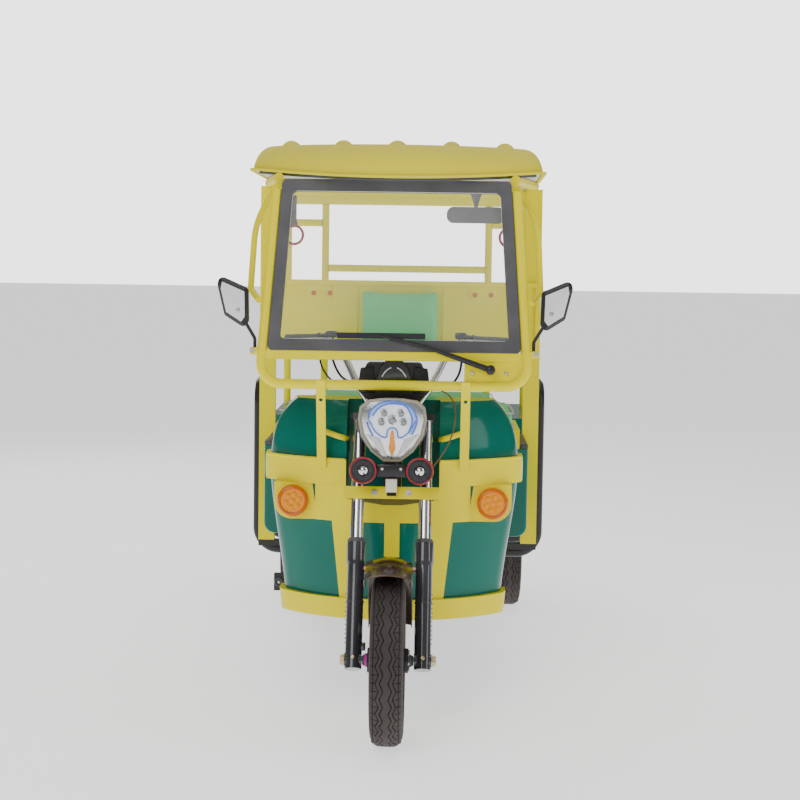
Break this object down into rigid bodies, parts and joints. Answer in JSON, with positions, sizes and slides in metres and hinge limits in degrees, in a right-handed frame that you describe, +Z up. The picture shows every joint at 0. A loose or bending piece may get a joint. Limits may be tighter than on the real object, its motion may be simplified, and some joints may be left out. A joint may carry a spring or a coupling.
{
  "type": "electric auto rickshaw",
  "caption": "Three-wheeled passenger vehicle with a raked front fork, a flat windscreen, a domed cowl, open sides, two facing benches and a moulded roof.",
  "frame": {"origin": "on the ground, under the middle of the vehicle's box", "axes": "+X to the vehicle's left, +Y to its rear, +Z up"},
  "size_m": [1.0054, 2.78, 1.666],
  "materials": {
    "black_steel": "satin",
    "floor_mat": "matte",
    "yellow_paint": "gloss",
    "amber_lens": "gloss",
    "black_rubber": "satin",
    "roof_paint": "matte",
    "grey_plastic": "satin",
    "clear_glass": "gloss",
    "black_plastic": "satin",
    "green_shell": "gloss",
    "grey_lining": "matte",
    "green_vinyl": "satin",
    "red_lens": "gloss",
    "chrome": "mirror",
    "red_paint": "gloss",
    "clear_lens": "gloss",
    "dark_gloss": "gloss",
    "steel": "satin",
    "tyre_rubber": "matte",
    "wheel_paint": "satin"
  },
  "bodies": {
    "chassis": {"steering_head": "black_steel", "chassis_frame": "black_steel", "floor_panel": "floor_mat", "front_cowl": "green_shell", "cowl_face": "yellow_paint", "turn_lamps": "amber_lens", "windscreen_frame": "yellow_paint", "front_stays": "yellow_paint", "windscreen_rubber": "black_rubber", "windscreen_glass": "clear_glass", "wiper": "black_plastic", "cab_mirror": "grey_plastic", "side_mirrors": "black_plastic", "grab_rails": "yellow_paint", "cab_frame": "yellow_paint", "roof_shell": "roof_paint", "roof_liner": "grey_lining", "seat_boxes": "yellow_paint", "seat_cushions": "green_vinyl", "backrest_boards": "yellow_paint", "back_pads": "green_vinyl", "side_panels": "green_shell", "rear_body": "green_shell", "rear_left_quarter": "green_shell", "rear_right_quarter": "green_shell", "tail_lamps": "red_lens", "rear_bumper": "black_steel", "side_guards": "black_steel", "battery_block": "black_plastic", "rear_axle": "black_steel", "leaf_springs": "black_steel", "brake_pedal": "black_steel"},
    "fork": {"fork_sliders": "black_plastic", "fork_tubes": "chrome", "fork_yokes": "black_steel", "cross_plate": "yellow_paint", "horns": "red_paint", "headlamp_housing": "black_plastic", "headlamp_lens": "clear_lens", "front_mudguard": "dark_gloss", "handlebar": "chrome", "handle_grips": "black_rubber", "instrument_cluster": "black_plastic", "front_axle": "steel"},
    "wheel_front": {"front_tyre": "tyre_rubber", "front_wheel": "wheel_paint"},
    "wheel_rear_left": {"rear_left_tyre": "tyre_rubber", "rear_left_wheel": "wheel_paint"},
    "wheel_rear_right": {"rear_right_tyre": "tyre_rubber", "rear_right_wheel": "wheel_paint"}
  },
  "joints": [
    {"name": "steering", "type": "hinge", "parent": "chassis", "child": "fork", "pos_m": [0, -0.8875, 0.7442], "axis": [0, 0.4067, 0.9135], "range_deg": [-35, 35]},
    {"name": "front_wheel_spin", "type": "hinge", "parent": "fork", "child": "wheel_front", "pos_m": [0, -1.1565, 0.2335], "axis": [1, 0, 0], "continuous": true},
    {"name": "rear_left_wheel_spin", "type": "hinge", "parent": "chassis", "child": "wheel_rear_left", "pos_m": [0.408, 0.9435, 0.2335], "axis": [1, 0, 0], "continuous": true},
    {"name": "rear_right_wheel_spin", "type": "hinge", "parent": "chassis", "child": "wheel_rear_right", "pos_m": [-0.408, 0.9435, 0.2335], "axis": [1, 0, 0], "continuous": true}
  ]
}
